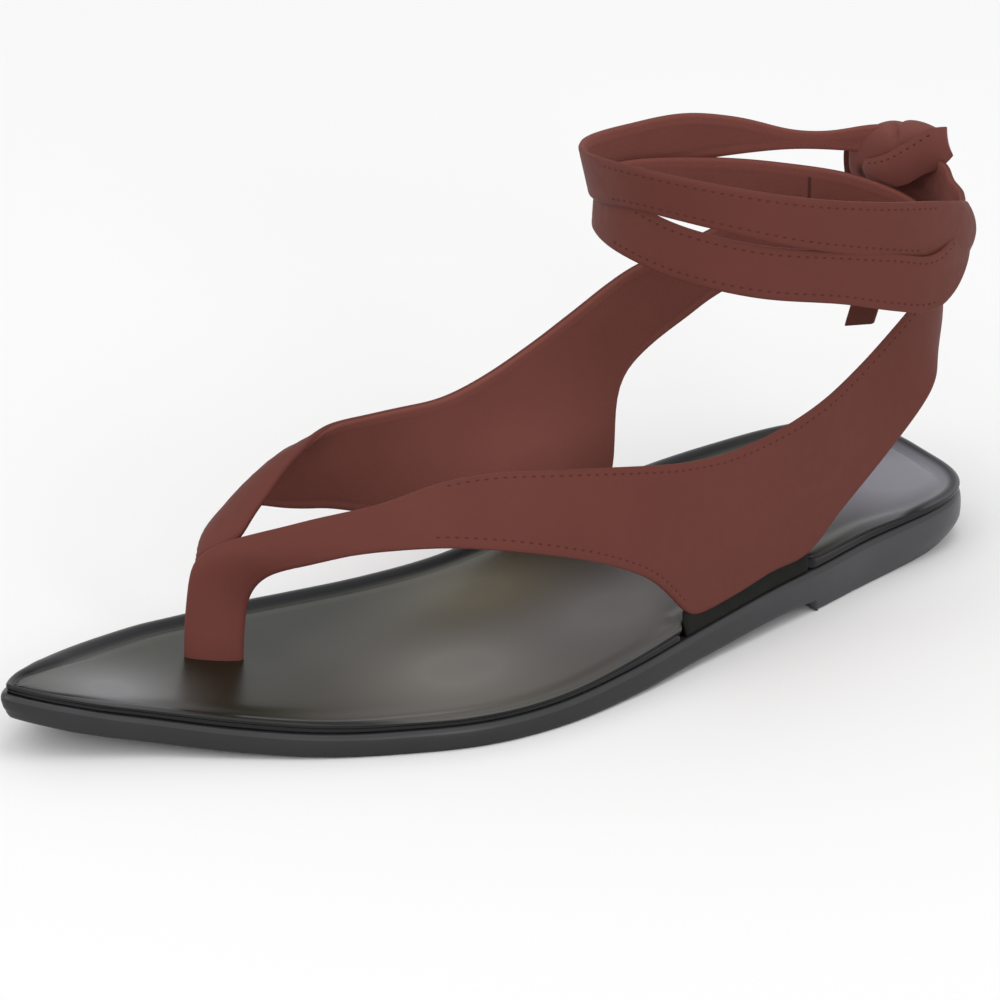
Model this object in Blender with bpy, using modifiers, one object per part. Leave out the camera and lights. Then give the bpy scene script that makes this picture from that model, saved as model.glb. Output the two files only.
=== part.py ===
# Lace-up flat sandal, left foot, standing empty on its sole.
# Frame: toe towards -Y, heel towards +Y, lateral side +X, medial side -X, floor at z = 0.
# Tables and sizes are in millimetres. A station is the distance from the back of the heel.
import math

import bmesh
import bpy
import numpy as np

MM = 0.001
ORIGIN_STATION = 128.95    # the frame's origin is under the middle of the sandal
ORIGIN_X = -2.5
GAP = 0.3                  # clearance between pieces that rest on each other

# Driving sizes of the sole
LENGTH = 262.0
HEEL_ROUND = 40.0          # length of the rounded heel end
HEEL_SQUARENESS = 2.75
TOE_ROUND = 8.0            # length of the rounded toe end
TOE_SQUARENESS = 2.0
EDGE_ROUND = 1.0
BOTTOM_INSET = 1.6         # tread face, inside the outsole's edge
LIFT_BREAST = 64.5         # station of the front face of the heel lift
LIFT_HEIGHT = 2.5
LIFT_INSET = 0.9
LIFT_TAPER = 0.6
FOOTBED_INSET = 0.8        # footbed edge, inside the outsole's edge
RIM_WIDTH = 4.2            # rolled rim of the footbed
RIM_HEIGHT = 1.0           # rim top above the groove
GROOVE_WIDTH = 2.4
TREAD_RISE = 0.7           # footbed middle above the groove

# Driving sizes of the upper
WALL = 1.9                 # folded leather
SEAT = 0.4                 # lower edge of the upper over the outsole
WALL_INSET = 2.05          # middle of the quarter wall, inside the outsole's edge
POST_X = -21.6
POST_HALF = 0.8            # each half of the toe post lies this far from its middle plane
LAST_BASE = 3.0            # the last's sections start this far under the footbed rim
SECTION_POWER = 2.5        # 2 is an elliptical section of the last, more is squarer
NOTCH_LATERAL = (57.2, 107.4)   # stations where the quarters pass the footbed's edge
NOTCH_MEDIAL = (75.6, 112.0)
NOTCH_REACH = 4.0
NOTCH_STEPS = 10
SLOT_MIDDLE = 200.4        # slot of the toe post in the footbed
SLOT_LENGTH = 14.6
SLOT_WIDTH = 4.2
SLOT_DEPTH = 40.0

# Sole outline: station, medial edge, lateral edge
OUTLINE = (
    (0, -40.0, 23.0),
    (40, -40.0, 23.5),
    (60, -39.3, 28.0),
    (80, -36.7, 32.0),
    (100, -34.5, 36.0),
    (125, -34.2, 41.3),
    (150, -37.5, 44.0),
    (170, -41.2, 41.5),
    (188, -44.1, 34.0),
    (205, -44.8, 24.5),
    (220, -42.5, 13.3),
    (236, -37.4, 0.5),
    (250, -30.4, -11.2),
    (262, -24.5, -15.5),
)

# Sole heights: station, outsole bottom, outsole top, footbed rim
BOTTOM, TOP, RIM = 1, 2, 3
LEVELS = (
    (0, 2.8, 10.0, 14.7),
    (72, 2.8, 10.2, 14.6),
    (103, 1.5, 8.1, 12.4),
    (145, 0.0, 5.4, 8.5),
    (190, 0.0, 5.2, 8.1),
    (215, 1.2, 6.3, 9.4),
    (240, 4.5, 9.5, 12.7),
    (262, 9.4, 14.4, 17.6),
)

# Top line of the last: station, distance across, height
RIDGE = (
    (0, -9.0, 130.0),
    (60, -9.0, 125.0),
    (80, -11.0, 112.0),
    (100, -14.0, 94.0),
    (131, -18.0, 74.0),
    (150, -20.0, 64.0),
    (172, -21.0, 55.5),
    (181, -21.3, 51.5),
    (187, -21.5, 47.8),
    (192, -21.6, 43.8),
    (197, -21.6, 39.5),
    (203, -21.6, 36.7),
    (210, -21.6, 34.0),
    (262, -20.0, 20.0),
)

# Sections of the two halves of the upper, from the toe post to the ankle:
# low edge station and angle, high edge station and angle, share of the last's width.
# Angles are in degrees round the last: 0 at the sole, 90 on its top line.
LATERAL_SECTIONS = (
    (194.0, 0.0, 206.8, 0.0, 0.0),
    (195.5, 5.4, 207.6, 12.1, 0.0),
    (196.3, 20.1, 207.0, 36.3, 0.06),
    (197.0, 33.5, 206.2, 68.0, 0.12),
    (195.5, 41.0, 202.5, 76.0, 0.2),
    (193.5, 43.9, 198.5, 80.0, 0.38),
    (191.0, 43.7, 194.0, 72.5, 0.5),
    (184.5, 48.3, 186.5, 69.0, 0.8),
    (177.0, 49.5, 174.5, 64.9, 1.0),
    (167.5, 44.0, 162.0, 61.8, 1.0),
    (157.5, 37.6, 151.0, 56.4, 1.0),
    (141.5, 26.5, 139.0, 47.5, 1.0),
    (128.0, 17.1, 125.0, 37.7, 1.0),
    (115.5, 8.4, 111.0, 29.2, 1.0),
    (107.0, 1.8, 103.0, 25.1, 1.0),
    (106.0, 0.0, 98.0, 22.9, 1.0),
    (90.0, 0.0, 87.0, 18.9, 1.0),
    (75.0, 0.0, 74.0, 16.5, 1.0),
    (59.5, 0.0, 63.0, 15.6, 1.0),
    (57.5, 0.9, 57.0, 15.4, 1.0),
    (47.5, 3.0, 49.5, 15.4, 1.0),
    (37.0, 6.7, 42.0, 16.2, 1.0),
    (29.0, 9.5, 36.0, 17.5, 1.0),
)
MEDIAL_SECTIONS = (
    (194.0, 0.0, 206.8, 0.0, 0.0),
    (195.5, 5.4, 207.6, 12.1, 0.0),
    (196.0, 19.9, 207.4, 36.3, 0.1),
    (195.5, 33.0, 205.0, 66.0, 0.3),
    (194.5, 42.0, 200.5, 97.0, 0.8),
    (189.5, 46.0, 196.0, 96.0, 1.0),
    (183.5, 46.4, 190.5, 93.0, 1.0),
    (176.5, 37.0, 185.5, 92.0, 1.0),
    (169.5, 27.1, 176.0, 77.0, 1.0),
    (159.5, 21.0, 164.0, 62.0, 1.0),
    (148.0, 14.9, 153.0, 53.4, 1.0),
    (136.0, 9.5, 142.0, 45.2, 1.0),
    (124.0, 4.8, 131.0, 38.8, 1.0),
    (115.0, 2.1, 121.0, 36.1, 1.0),
    (110.5, 0.9, 114.0, 35.1, 1.0),
    (110.0, 0.0, 110.0, 34.8, 1.0),
    (98.0, 0.0, 102.0, 33.9, 1.0),
    (87.0, 0.0, 94.0, 32.6, 1.0),
    (77.5, 0.0, 88.0, 31.3, 1.0),
    (76.2, 2.2, 84.0, 30.7, 1.0),
    (77.8, 6.5, 81.0, 30.3, 1.0),
    (77.2, 10.4, 78.0, 29.9, 1.0),
    (73.8, 13.5, 74.0, 29.5, 1.0),
    (67.0, 15.1, 69.0, 28.7, 1.0),
    (54.5, 16.4, 60.0, 27.3, 1.0),
)

# Ankle ring that the ties are wound on
ANKLE_X = -8.0
ANKLE_STATION = 47.0
ANKLE_HALF_LENGTH = 50.0
ANKLE_HALF_WIDTH = 39.5

# Sections of the ties: turn in degrees (0 back, 90 lateral, 180 front), height, outset from
# the ring, width, lean (how much further out the high edge lies than the low edge)
LATERAL_TIE = (
    (36, 61.0, -8.2, 18.0, 0.0),
    (18, 66.5, -6.2, 15.5, 0.0),
    (0, 70.5, -4.2, 13.5, 0.0),
    (-30, 75.0, -2.2, 13.0, 0.0),
    (-60, 79.0, -1.2, 13.0, 0.0),
    (-90, 84.0, -0.8, 13.0, 0.0),
    (-120, 89.8, -1.3, 13.0, 0.0),
    (-150, 94.3, -2.8, 13.0, 0.0),
    (-180, 95.7, -3.2, 13.0, 0.0),
    (-205, 93.3, -2.4, 12.4, 0.0),
    (-230, 90.3, -1.2, 12.2, 0.0),
    (-260, 85.6, -0.4, 12.8, 0.0),
    (-275, 81.6, 0.1, 13.0, 0.0),
    (-290, 76.9, 0.8, 13.0, 0.0),
    (-300, 78.5, 1.3, 13.0, 0.0),
    (-308, 82.0, 1.4, 13.0, 0.0),
    (-316, 85.0, 1.0, 11.5, -0.5),
    (-328, 86.3, -0.2, 9.5, -2.0),
    (-342, 86.5, -1.2, 8.0, -2.0),
    (-354, 87.3, -1.0, 7.5, -1.0),
    (-362, 87.8, 0.2, 7.5, 0.0),
)
MEDIAL_TIE = (
    (-82, 66.0, -8.6, 16.0, 0.0),
    (-60, 69.5, -5.0, 14.0, 0.0),
    (-40, 73.0, -2.6, 13.0, 0.0),
    (-20, 76.5, -2.4, 13.0, -0.5),
    (0, 79.0, -2.7, 12.6, -1.0),
    (25, 82.5, -2.3, 12.6, -1.5),
    (45, 86.0, -0.5, 13.0, -1.0),
    (68, 92.0, 0.2, 13.0, 0.0),
    (90, 97.0, 0.4, 13.0, 0.0),
    (117, 102.5, 0.5, 13.0, 1.0),
    (142, 106.5, 0.2, 13.0, 2.5),
    (172, 107.4, -0.6, 13.0, 3.5),
    (195, 105.0, -0.8, 13.0, 3.5),
    (223, 100.7, -0.1, 13.0, 2.0),
    (249, 96.8, 0.3, 13.0, 0.0),
    (277, 93.8, 0.6, 12.3, 0.0),
    (292, 92.3, 1.0, 8.9, 0.0),
    (307, 90.4, 2.2, 4.2, 0.0),
    (316.5, 89.5, 3.6, 4.4, 0.0),
)

# Knot of the two ties: turn, height and outset of its middle, and its half sizes
KNOT_TURN = -19.5
KNOT_HEIGHT = 88.8
KNOT_OUTSET = 5.4
KNOT_HALF = (9.8, 5.8, 6.6)    # along the ring, outwards, up
KNOT_SQUARENESS = 0.78

# Wrap of the knot, in the knot's own directions: along, outwards, up, width
WRAP = (
    (-6.6, -3.0, -4.6, 7.0),
    (-3.2, -5.2, -3.6, 7.8),
    (1.6, -5.6, -1.6, 8.2),
    (6.2, -5.0, 1.2, 8.2),
    (10.4, -3.4, 4.2, 7.8),
    (14.0, -2.0, 6.2, 7.4),
)
WRAP_WALL = 2.6
WRAP_LEAN = 31.0           # degrees that the wrap rises
WRAP_STEP = 2.5

# Hanging tie end: turn, height, outset, width
TIE_END = (
    (-37.0, 91.0, 9.0, 9.5),
    (-36.0, 83.0, 9.0, 10.0),
    (-34.0, 72.0, 8.8, 10.5),
    (-32.5, 60.0, 8.6, 10.5),
    (-32.7, 49.0, 8.4, 10.5),
    (-35.0, 38.0, 8.4, 10.5),
)
TIE_END_WALL = 1.8

STRAP_STEP = 5.2           # length of the faces along the upper
STRAP_ACROSS = 6
HEEL_STEPS = 12            # points of the sole outline on each side
MIDDLE_STEPS = 26
TOE_STEPS = 5


def smooth_value(table, column, at):
    """Cubic Hermite value of one table column, level at its highest and lowest rows."""
    places = np.array([row[0] for row in table], dtype=float)
    values = np.array([row[column] for row in table], dtype=float)
    slopes = np.gradient(values, places)
    steps = np.diff(values)
    slopes[1:-1][steps[:-1] * steps[1:] <= 0] = 0.0
    index = int(np.clip(np.searchsorted(places, at) - 1, 0, len(places) - 2))
    width = places[index + 1] - places[index]
    t = (at - places[index]) / width
    start = values[index] * (1 + 2 * t) * (1 - t) ** 2 + slopes[index] * width * t * (1 - t) ** 2
    end = values[index + 1] * t * t * (3 - 2 * t) + slopes[index + 1] * width * t * t * (t - 1)
    return start + end


def to_metres(x, station, z):
    """A point of the sandal in the shared frame."""
    return ((x - ORIGIN_X) * MM, (ORIGIN_STATION - station) * MM, z * MM)


def make_material(name, colour, roughness):
    material = bpy.data.materials.new(name)
    material.use_nodes = True
    shader = material.node_tree.nodes["Principled BSDF"]
    shader.inputs["Base Color"].default_value = (*colour, 1.0)
    shader.inputs["Roughness"].default_value = roughness
    shader.inputs["Metallic"].default_value = 0.0
    return material


def make_object(name, shape, collection, material=None):
    """Object from a bmesh, with its faces turned outwards."""
    bmesh.ops.recalc_face_normals(shape, faces=shape.faces)
    mesh = bpy.data.meshes.new(name)
    shape.to_mesh(mesh)
    shape.free()
    if material:
        mesh.materials.append(material)
    thing = bpy.data.objects.new(name, mesh)
    collection.objects.link(thing)
    return thing


def add_boolean(target, other, operation):
    """Boolean with a guide that stays hidden."""
    step = target.modifiers.new(other.name, "BOOLEAN")
    step.operation = operation
    step.object = other
    other.hide_render = True
    other.display_type = "WIRE"


def add_wall(thing, thickness, offset=0.0):
    wall = thing.modifiers.new("wall", "SOLIDIFY")
    wall.thickness = thickness * MM
    wall.offset = offset


# Sole

def round_end(distance, length, power):
    """Width factor of a rounded end, 0 at the tip and 1 from length on."""
    if distance >= length:
        return 1.0
    return max(1.0 - (1.0 - distance / length) ** power, 0.0) ** (1.0 / power)


def sole_edges(station):
    """Medial and lateral edge of the outsole at a station."""
    medial = smooth_value(OUTLINE, 1, station)
    lateral = smooth_value(OUTLINE, 2, station)
    factor = round_end(station, HEEL_ROUND, HEEL_SQUARENESS)
    factor *= round_end(LENGTH - station, TOE_ROUND, TOE_SQUARENESS)
    middle = (medial + lateral) / 2
    half = (lateral - medial) / 2 * factor
    return middle - half, middle + half


def sole_level(column, station):
    return smooth_value(LEVELS, column, min(max(station, 0.0), LENGTH))


def outline_stations(end):
    """Stations from heel to end, closer together towards the heel and toe tips."""
    heel = np.linspace(0.0, 1.0, HEEL_STEPS + 1) ** 3 * HEEL_ROUND
    toe = LENGTH - np.linspace(1.0, 0.0, TOE_STEPS + 1) ** 2 * TOE_ROUND
    middle = np.linspace(HEEL_ROUND, LENGTH - TOE_ROUND, MIDDLE_STEPS + 1)
    stations = [*heel[1:-1], *middle, *toe[1:-1]]
    inner = [station for station in stations if station < end - GAP]
    return stations if end == LENGTH else inner + [end]


def outline_ring(inset, end=LENGTH):
    """Outline moved inwards: heel tip, lateral side, toe tip, medial side back."""
    pairs = [(station, *sole_edges(station)) for station in outline_stations(end)]
    lateral = [(row[2], row[0]) for row in pairs]
    medial = [(row[1], row[0]) for row in pairs]
    heel = [(sum(sole_edges(0.0)) / 2, 0.0)]
    toe = [(sum(sole_edges(LENGTH)) / 2, LENGTH)] if end == LENGTH else []
    ring = np.array(heel + lateral + toe + medial[::-1])
    along = np.roll(ring, -1, axis=0) - np.roll(ring, 1, axis=0)
    along /= np.linalg.norm(along, axis=1)[:, None]
    return ring + np.stack([-along[:, 1], along[:, 0]], axis=1) * inset


def level_ring(inset, column, rise, end=LENGTH):
    """Outline ring laid at a sole height plus a rise."""
    return [(x, s, sole_level(column, s) + rise) for x, s in outline_ring(inset, end)]


def flat_ring(inset, height, end):
    return [(x, s, height) for x, s in outline_ring(inset, end)]


def ring_solid(name, rings, collection, material):
    """Loft through rings of equal count, closed across from lateral to medial points."""
    shape = bmesh.new()
    loops = [[shape.verts.new(to_metres(*point)) for point in ring] for ring in rings]
    count = len(loops[0])
    for lower, upper in zip(loops, loops[1:]):
        for i in range(count):
            j = (i + 1) % count
            shape.faces.new((lower[i], lower[j], upper[j], upper[i]))
    for loop in (loops[0], loops[-1]):
        for i in range(count // 2):
            corners = (loop[i], loop[i + 1], loop[count - i - 1], loop[(count - i) % count])
            corners = list(dict.fromkeys(corners))
            if len(corners) > 2:
                shape.faces.new(corners)
    return make_object(name, shape, collection, material)


def build_outsole(parts, material):
    ring_solid("outsole", [
        level_ring(BOTTOM_INSET + EDGE_ROUND, BOTTOM, 0.0),
        level_ring(EDGE_ROUND * 0.5, BOTTOM, EDGE_ROUND * 0.6),
        level_ring(0.0, BOTTOM, EDGE_ROUND * 1.6),
        level_ring(0.0, TOP, -EDGE_ROUND * 1.2),
        level_ring(EDGE_ROUND * 0.8, TOP, 0.0),
    ], parts, material)


def build_heel_lift(parts, material):
    ring_solid("heel_lift", [
        flat_ring(LIFT_INSET + LIFT_TAPER, 0.0, LIFT_BREAST),
        flat_ring(LIFT_INSET, EDGE_ROUND * 0.5, LIFT_BREAST),
        flat_ring(LIFT_INSET, LIFT_HEIGHT, LIFT_BREAST),
    ], parts, material)


def build_footbed(parts, guides, material):
    """Padded insole with a rolled rim and a groove inside it."""
    edge = FOOTBED_INSET
    groove = edge + RIM_WIDTH
    footbed = ring_solid("footbed", [
        level_ring(edge + EDGE_ROUND * 0.6, TOP, GAP),
        level_ring(edge, TOP, GAP + EDGE_ROUND * 0.8),
        level_ring(edge, RIM, -EDGE_ROUND * 1.2),
        level_ring(edge + RIM_WIDTH * 0.18, RIM, -EDGE_ROUND * 0.3),
        level_ring(edge + RIM_WIDTH * 0.45, RIM, 0.0),
        level_ring(edge + RIM_WIDTH * 0.75, RIM, -RIM_HEIGHT * 0.35),
        level_ring(groove, RIM, -RIM_HEIGHT),
        level_ring(groove + GROOVE_WIDTH, RIM, -RIM_HEIGHT + TREAD_RISE),
    ], parts, material)
    lateral = notch_cutter("lateral_notch", NOTCH_LATERAL, 1, guides)
    medial = notch_cutter("medial_notch", NOTCH_MEDIAL, -1, guides)
    for cutter in (lateral, medial, slot_cutter(guides)):
        add_boolean(footbed, cutter, "DIFFERENCE")


def notch_cutter(name, ends, side, guides):
    """Room for a quarter's lower edge, open towards the outside."""
    inner = WALL_INSET + WALL / 2 + GAP
    shape = bmesh.new()
    bmesh.ops.create_grid(shape, x_segments=NOTCH_STEPS, y_segments=1, size=1.0)
    for vert in shape.verts:
        station = ends[0] + (vert.co.x + 1) / 2 * (ends[1] - ends[0])
        low = sole_level(TOP, station) - GAP
        high = sole_level(RIM, station) + NOTCH_REACH
        edge = sole_edges(station)[1 if side > 0 else 0]
        vert.co = to_metres(edge - side * inner, station, low if vert.co.y < 0 else high)
    cutter = make_object(name, shape, guides)
    facing = cutter.data.polygons[0].normal.x * side
    add_wall(cutter, NOTCH_REACH, math.copysign(1.0, facing))
    return cutter


def slot_cutter(guides):
    """Slot of the toe post through the footbed."""
    shape = bmesh.new()
    bmesh.ops.create_cube(shape, size=1.0)
    sizes = (SLOT_WIDTH * MM, SLOT_LENGTH * MM, SLOT_DEPTH * MM)
    bmesh.ops.scale(shape, vec=sizes, verts=shape.verts)
    bmesh.ops.translate(shape, vec=to_metres(POST_X, SLOT_MIDDLE, 0.0), verts=shape.verts)
    return make_object("post_slot", shape, guides)


# Upper

def last_point(station, angle, side, share):
    """Point of the last's section at an angle, drawn towards the toe post by the share."""
    ridge_x = smooth_value(RIDGE, 1, station)
    base = sole_level(RIM, station) - LAST_BASE
    rise = smooth_value(RIDGE, 2, station) - base
    edges = sole_edges(station)
    reach = (edges[1] if side > 0 else edges[0]) - side * WALL_INSET - ridge_x
    turn = math.radians(angle)
    x = ridge_x + reach * math.copysign(abs(math.cos(turn)) ** (2 / SECTION_POWER), math.cos(turn))
    z = base + rise * math.sin(turn) ** (2 / SECTION_POWER)
    post = POST_X + side * POST_HALF
    return post + (x - post) * share, station, z


def last_section(row, side, across):
    low_station, low_angle, high_station, high_angle, share = row
    stations = [low_station + (high_station - low_station) * v for v in across]
    angles = [low_angle + (high_angle - low_angle) * v for v in across]
    return [last_point(s, a, side, share) for s, a in zip(stations, angles)]


def ring_point(turn, height, outset):
    """Point on the ankle ring, moved out from it."""
    angle = math.radians(turn)
    x = ANKLE_X + (ANKLE_HALF_WIDTH + outset) * math.sin(angle)
    return x, ANKLE_STATION - (ANKLE_HALF_LENGTH + outset) * math.cos(angle), height


def tie_section(row, across):
    turn, height, outset, width, lean = row
    return [ring_point(turn, height + (v - 0.5) * width, outset + (v - 0.5) * lean) for v in across]


def loft(sections, step):
    """Smooth surface through sections, in rows a step apart along its middle."""
    points = np.array(sections, dtype=float)
    middle = points[:, points.shape[1] // 2]
    places = np.concatenate([[0.0], np.cumsum(np.linalg.norm(np.diff(middle, axis=0), axis=1))])
    slopes = np.gradient(points, places, axis=0)
    rows = []
    for at in np.linspace(0.0, places[-1], int(round(places[-1] / step)) + 1):
        i = int(np.clip(np.searchsorted(places, at) - 1, 0, len(places) - 2))
        width = places[i + 1] - places[i]
        t = (at - places[i]) / width
        start = points[i] * (1 + 2 * t) * (1 - t) ** 2 + slopes[i] * width * t * (1 - t) ** 2
        end = points[i + 1] * t * t * (3 - 2 * t) + slopes[i + 1] * width * t * t * (t - 1)
        rows.append(start + end)
    return rows


def strip(name, rows, place, wall, collection, material=None):
    """Grid laid on the rows of a surface and given its wall by Solidify."""
    along = len(rows) - 1
    across = len(rows[0]) - 1
    shape = bmesh.new()
    bmesh.ops.create_grid(shape, x_segments=along, y_segments=across, size=1.0)
    for vert in shape.verts:
        row = int(round((vert.co.x + 1) / 2 * along))
        column = int(round((vert.co.y + 1) / 2 * across))
        vert.co = place(*rows[row][column])
    strap = make_object(name, shape, collection, material)
    add_wall(strap, wall)
    return strap


def over_sole(x, station, z):
    """Point kept on or above the seat of the upper on the outsole."""
    return x, station, max(z, sole_level(TOP, station) + SEAT)


def half_upper(name, sections, ties, side, collection, material=None):
    """Half of the toe post, quarter and tie as one strip."""
    across = np.linspace(0.0, 1.0, STRAP_ACROSS + 1)
    lines = [last_section(row, side, across) for row in sections]
    lines += [tie_section(row, across) for row in ties]
    rows = [[over_sole(*point) for point in row] for row in loft(lines, STRAP_STEP)]
    return strip(name, rows, to_metres, WALL, collection, material)


def build_upper(parts, guides, material):
    upper = half_upper("upper", LATERAL_SECTIONS, LATERAL_TIE, 1, parts, material)
    medial = half_upper("medial_half", MEDIAL_SECTIONS, MEDIAL_TIE, -1, guides)
    add_boolean(upper, medial, "UNION")


# Knot and hanging end of the ties

def knot_place(along, outwards, up):
    """Point in the knot's own directions."""
    angle = math.radians(KNOT_TURN)
    x, station, z = ring_point(KNOT_TURN, KNOT_HEIGHT, KNOT_OUTSET)
    x += along * math.cos(angle) + outwards * math.sin(angle)
    station += along * math.sin(angle) - outwards * math.cos(angle)
    return to_metres(x, station, z + up)


def build_knot(parts, guides, material):
    shape = bmesh.new()
    bmesh.ops.create_uvsphere(shape, u_segments=20, v_segments=12, radius=1.0)
    for vert in shape.verts:
        rounded = [math.copysign(abs(c) ** KNOT_SQUARENESS, c) for c in vert.co]
        vert.co = knot_place(*(half * c for half, c in zip(KNOT_HALF, rounded)))
    knot = make_object("tie_knot", shape, parts, material)
    lean = math.radians(WRAP_LEAN)
    side = np.array((-math.sin(lean), 0.0, math.cos(lean))) / 2
    lines = [[np.array(row[:3]) + side * row[3] * v for v in (-1, 0, 1)] for row in WRAP]
    wrap = strip("knot_wrap", loft(lines, WRAP_STEP), knot_place, WRAP_WALL, guides)
    add_boolean(knot, wrap, "UNION")


def build_tie_end(parts, material):
    angle = math.radians(KNOT_TURN)
    side = np.array((math.cos(angle), math.sin(angle), 0.0)) / 2
    lines = [[np.array(ring_point(*row[:3])) + side * row[3] * v for v in (-1, 0, 1)] for row in TIE_END]
    strip("tie_end", loft(lines, STRAP_STEP), to_metres, TIE_END_WALL, parts, material)


def build():
    for old in list(bpy.data.objects):
        bpy.data.objects.remove(old)
    parts = bpy.data.collections.new("lace_up_sandal")
    guides = bpy.data.collections.new("cutters")
    bpy.context.scene.collection.children.link(parts)
    bpy.context.scene.collection.children.link(guides)

    build_outsole(parts, make_material("outsole_black", (0.012, 0.012, 0.013), 0.4))
    build_heel_lift(parts, make_material("lift_black", (0.01, 0.01, 0.01), 0.5))
    build_footbed(parts, guides, make_material("footbed_black", (0.014, 0.014, 0.013), 0.35))
    build_upper(parts, guides, make_material("upper_leather", (0.15, 0.046, 0.04), 0.6))
    build_knot(parts, guides, make_material("knot_leather", (0.15, 0.046, 0.04), 0.6))
    build_tie_end(parts, make_material("tie_end_leather", (0.15, 0.046, 0.04), 0.6))


build()
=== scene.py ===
import math

import bpy
import numpy as np
from mathutils import Matrix, Vector


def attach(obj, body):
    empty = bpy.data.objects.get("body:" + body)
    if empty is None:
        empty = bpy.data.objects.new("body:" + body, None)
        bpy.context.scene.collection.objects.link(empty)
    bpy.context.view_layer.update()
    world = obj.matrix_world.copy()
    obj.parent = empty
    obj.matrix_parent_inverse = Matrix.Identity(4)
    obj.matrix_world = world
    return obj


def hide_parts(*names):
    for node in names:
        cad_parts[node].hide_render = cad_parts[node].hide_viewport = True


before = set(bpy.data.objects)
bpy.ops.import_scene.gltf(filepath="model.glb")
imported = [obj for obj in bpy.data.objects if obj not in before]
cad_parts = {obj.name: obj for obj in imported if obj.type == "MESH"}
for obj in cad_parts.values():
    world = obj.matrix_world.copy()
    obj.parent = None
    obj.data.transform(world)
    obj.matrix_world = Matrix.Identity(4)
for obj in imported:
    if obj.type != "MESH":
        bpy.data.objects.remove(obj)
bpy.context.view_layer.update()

mm = 0.001

# Lengths in the dictionaries are millimetres. A station is the distance from the back of the
# heel, x is positive on the outer side of this left sandal.

frameOrigin = {"x": -2.5, "station": 128.95}   # the shared frame's origin on the sandal
meshClean = {"merge": 0.000004, "dissolve": 0.000002}   # metres

cameraSetup = {
    "azimuth": 54.311,
    "elevation": 23.749,
    "distance": 1.5,   # metres
    "target": (0.0025, -0.00205, 0.05),  # metres
    "lens": 229.17,
    "sensor": 36.0,
    "clipStart": 0.1,
    "shift": (-0.0145, -0.04986),
}


def clearPick():
    bpy.ops.object.select_all(action="DESELECT")


def addCamera(setup):
    clearPick()
    bpy.ops.object.camera_add()
    camera = bpy.context.object
    camera.name = "photoCamera"
    turn = math.radians(setup["azimuth"])
    rise = math.radians(setup["elevation"])
    flat = math.cos(rise)
    back = Vector((math.sin(turn) * flat, -math.cos(turn) * flat, math.sin(rise)))
    camera.location = Vector(setup["target"]) + back * setup["distance"]
    camera.rotation_euler = back.to_track_quat("Z", "Y").to_euler()
    camera.data.sensor_width = setup["sensor"]
    camera.data.lens = setup["lens"]
    camera.data.shift_x, camera.data.shift_y = setup["shift"]
    camera.data.clip_start = setup["clipStart"]
    bpy.context.scene.camera = camera


addCamera(cameraSetup)
print("camera placed")


# Shared helpers

def lengthAlong(points):
    return np.concatenate([[0.0], np.cumsum(np.linalg.norm(np.diff(points, axis=0), axis=1))])


def cubicBetween(values, slopes, i, width, t):
    start = values[i] * (1 + 2 * t) * (1 - t) ** 2 + slopes[i] * width * t * (1 - t) ** 2
    end = values[i + 1] * t * t * (3 - 2 * t) + slopes[i + 1] * width * t * t * (t - 1)
    return start + end


def smoothValue(table, column, at):
    # cubic through the rows, level at the highest and lowest of them
    places = np.array([row[0] for row in table], dtype=float)
    values = np.array([row[column] for row in table], dtype=float)
    slopes = np.gradient(values, places)
    steps = np.diff(values)
    slopes[1:-1][steps[:-1] * steps[1:] <= 0] = 0.0
    i = np.clip(np.searchsorted(places, at) - 1, 0, len(places) - 2)
    width = places[i + 1] - places[i]
    t = (at - places[i]) / width
    return cubicBetween(values, slopes, i, width, t)


def easeStep(low, high, at):
    t = np.clip((at - low) / (high - low), 0.0, 1.0)
    return t * t * (3 - 2 * t)


def inMetres(points):
    # sandal millimetres to the shared frame
    points = np.asarray(points, dtype=float)
    x = points[..., 0] - frameOrigin["x"]
    y = frameOrigin["station"] - points[..., 1]
    return np.stack([x, y, points[..., 2]], axis=-1) * mm


def pickOnly(piece):
    clearPick()
    piece.select_set(True)
    bpy.context.view_layer.objects.active = piece


def finishShading(piece):
    pickOnly(piece)
    bpy.ops.object.shade_smooth()


def addModifier(piece, kind, **settings):
    pickOnly(piece)
    bpy.ops.object.modifier_add(type=kind)
    modifier = piece.modifiers[-1]
    for key, value in settings.items():
        setattr(modifier, key, value)
    bpy.ops.object.modifier_apply(modifier=modifier.name)


def bevelEdges(piece, values):
    addModifier(piece, "BEVEL", width=values["width"] * mm, segments=values["segments"],
                limit_method="ANGLE", angle_limit=math.radians(values["angle"]))


def editAll():
    bpy.ops.object.mode_set(mode="EDIT")
    bpy.ops.mesh.select_all(action="SELECT")


def addGrid(name, rows):
    # flat grid whose points go to rows[row][column], in millimetres
    up = len(rows) - 1
    around = len(rows[0]) - 1
    clearPick()
    bpy.ops.mesh.primitive_grid_add(x_subdivisions=around, y_subdivisions=up, size=1.0)
    piece = bpy.context.object
    piece.name = name
    piece.data.name = name
    flat = np.empty(len(piece.data.vertices) * 3)
    piece.data.vertices.foreach_get("co", flat)
    flat = flat.reshape(-1, 3) + 0.5
    column = np.rint(flat[:, 0] * around).astype(int)
    row = np.rint(flat[:, 1] * up).astype(int)
    piece.data.vertices.foreach_set("co", inMetres(rows)[row, column].ravel())
    return piece, row, column


def markEdge(piece, name, along, away):
    # place along an edge and distance in from it, as a layer
    corner = np.empty(len(piece.data.loops), dtype=int)
    piece.data.loops.foreach_get("vertex_index", corner)
    layer = piece.data.uv_layers.new(name=name)
    layer.data.foreach_set("uv", np.stack([along, away], axis=1)[corner].ravel())


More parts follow.
